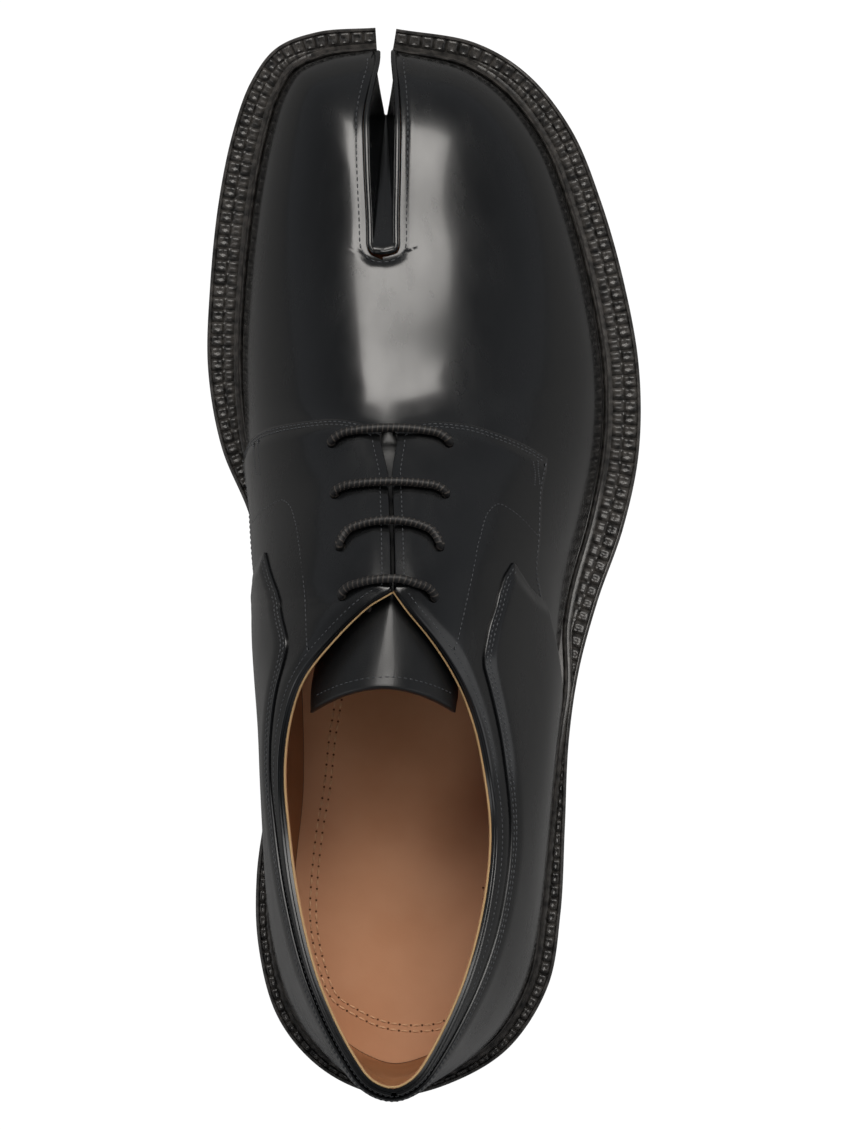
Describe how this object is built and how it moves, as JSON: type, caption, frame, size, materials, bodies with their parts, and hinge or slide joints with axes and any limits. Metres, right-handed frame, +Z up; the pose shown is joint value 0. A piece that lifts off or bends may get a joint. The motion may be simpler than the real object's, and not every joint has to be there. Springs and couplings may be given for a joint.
{
  "type": "lace-up shoe",
  "caption": "Right-foot lace-up derby shoe with a cleft toe, polished leather upper, ribbed storm welt, low block heel and an open collar.",
  "frame": {"origin": "centre of the bounding box on the floor, under the waist of the sole", "axes": "+X to the outer (lateral) side of the right foot, +Y to the toe along the sole's length, +Z up from the floor"},
  "size_m": [0.1232, 0.3, 0.1023],
  "materials": {
    "polished_leather": "high polish",
    "tongue_leather": "satin",
    "tan_leather": "smooth matt",
    "sole_rubber": "matt",
    "welt_rubber": "satin, ribbed",
    "waxed_cord": "waxed round cord"
  },
  "bodies": {
    "root": {"outsole": "sole_rubber", "heel_block": "sole_rubber", "heel_top_lift": "sole_rubber", "welt": "welt_rubber", "insole": "tan_leather", "upper": "polished_leather", "quarter_medial": "polished_leather", "quarter_lateral": "polished_leather", "heel_foxing": "polished_leather", "toe_gusset": "polished_leather", "tongue": "tongue_leather", "lace": "waxed_cord"}
  },
  "joints": []
}
